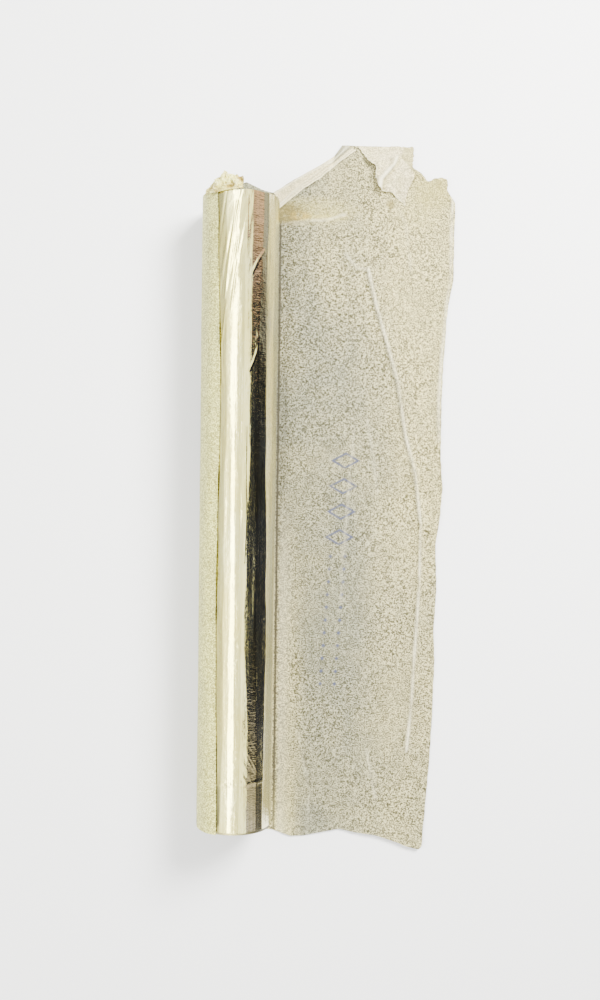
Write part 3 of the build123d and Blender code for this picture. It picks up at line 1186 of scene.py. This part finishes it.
class ROLL_OT_stage(Operator):
    """Pale floor, soft lights, reflected panels and the camera"""

    bl_idname = "foil_roll.stage"
    bl_label = "Stage"

    def execute(self, context):
        studio = context.scene.foil_roll_studio
        self.floor()
        self.tent(studio)
        self.floor_card(studio)
        self.lights(context.scene, studio)
        self.camera(context.scene, studio)
        return {"FINISHED"}

    @staticmethod
    def floor():
        deselect()
        bpy.ops.mesh.primitive_plane_add(size=8)
        floor = bpy.context.object
        floor.name = "floor"
        s = Shader("pale floor")
        floor.data.materials.append(s.finish(s.principled(
            Base_Color=(0.90, 0.92, 0.97, 1), Roughness=0.9)))

    @staticmethod
    def tent(studio):
        tent = add_grid("studio_tent", 72, 4)
        across, along = grid_shares(tent)
        turn = np.radians(-TENT_SPREAD + 2 * TENT_SPREAD * across)
        set_coordinates(tent.data, TENT_RADIUS * np.sin(turn), TENT_LENGTH * (along - 0.5),
                        AXIS_Z * MM + TENT_RADIUS * np.cos(turn))
        tent.data.materials.append(tent_material(studio.tent_strength))
        hide_but_in_reflections(tent)

    @staticmethod
    def floor_card(studio):
        """Seen only in the foil: pale near the wrapper and dark further out."""
        card = add_grid("studio_floor_card", 8, 4)
        across, along = grid_shares(card)
        set_coordinates(card.data, CARD_START + 0.5 * across, TENT_LENGTH * (along - 0.5), 0.0004)
        s = Shader("floor card")
        _, x, _, _ = s.place()
        far = ((x - 215.0) / 60.0).clamped()
        colour = s.blend(far, (0.085, 0.080, 0.055), (0.002, 0.002, 0.0025))
        card.data.materials.append(s.lit_panel(colour, studio.tent_strength * 0.5))
        hide_but_in_reflections(card)

    @staticmethod
    def lights(scene, studio):
        for name, place, size, share in (
                ("key", (0.50, 0.50, 0.62), 0.35, 1.0), ("fill", (-0.55, -0.10, 0.85), 0.8, 0.42)):
            bpy.ops.object.light_add(type="AREA", location=place)
            light = bpy.context.object
            light.name = name
            light.data.size = size
            light.data.energy = studio.key_power * share
            light.data.color = (1.0, 0.975, 0.9)
            light.visible_glossy = False
            aim = -light.location
            light.rotation_euler = aim.to_track_quat("-Z", "Y").to_euler()
        world = bpy.data.worlds.new("even light")
        world.use_nodes = True
        background = world.node_tree.nodes["Background"]
        background.inputs["Color"].default_value = (1.0, 0.98, 0.92, 1)
        background.inputs["Strength"].default_value = studio.fill_strength
        scene.world = world

    @staticmethod
    def camera(scene, studio):
        bpy.ops.object.camera_add(
            location=(*CAMERA_XY, studio.camera_height),
            rotation=(0, 0, math.radians(CAMERA_ROLL)))
        camera = bpy.context.object
        camera.data.lens = studio.lens
        camera.data.sensor_width = 36
        scene.camera = camera


class ROLL_PT_panel(Panel):
    """Lists the pieces and their settings"""

    bl_idname = "ROLL_PT_panel"
    bl_label = "Foil Roll"
    bl_space_type = "VIEW_3D"
    bl_region_type = "UI"
    bl_category = "Foil Roll"

    def draw(self, context):
        for name, _ in SETTINGS:
            group = getattr(context.scene, name)
            box = self.layout.box()
            for key in group.__annotations__:
                box.prop(group, key)
        for operator in OPERATORS:
            self.layout.operator(operator.bl_idname)


SETTINGS = [
    ("foil_roll_tissue", TissueSettings),
    ("foil_roll_foil", FoilSettings),
    ("foil_roll_core", CoreSettings),
    ("foil_roll_studio", StudioSettings),
]
OPERATORS = [
    ROLL_OT_stage,
    ROLL_OT_core_tube,
    ROLL_OT_foil_winding,
    ROLL_OT_foil_outer_turn,
    ROLL_OT_wrapper_left,
    ROLL_OT_end_crumple,
    ROLL_OT_open_flap,
    ROLL_OT_top_fold,
    ROLL_OT_torn_flap,
]


def register():
    for name, group in SETTINGS:
        bpy.utils.register_class(group)
        setattr(bpy.types.Scene, name, PointerProperty(type=group))
    for operator in OPERATORS:
        bpy.utils.register_class(operator)
    bpy.utils.register_class(ROLL_PT_panel)


def unregister():
    bpy.utils.unregister_class(ROLL_PT_panel)
    for operator in reversed(OPERATORS):
        bpy.utils.unregister_class(operator)
    for name, group in reversed(SETTINGS):
        delattr(bpy.types.Scene, name)
        bpy.utils.unregister_class(group)


def main():
    register()
    for operator in OPERATORS:
        group, name = operator.bl_idname.split(".")
        getattr(getattr(bpy.ops, group), name)()


if __name__ == "__main__":
    main()
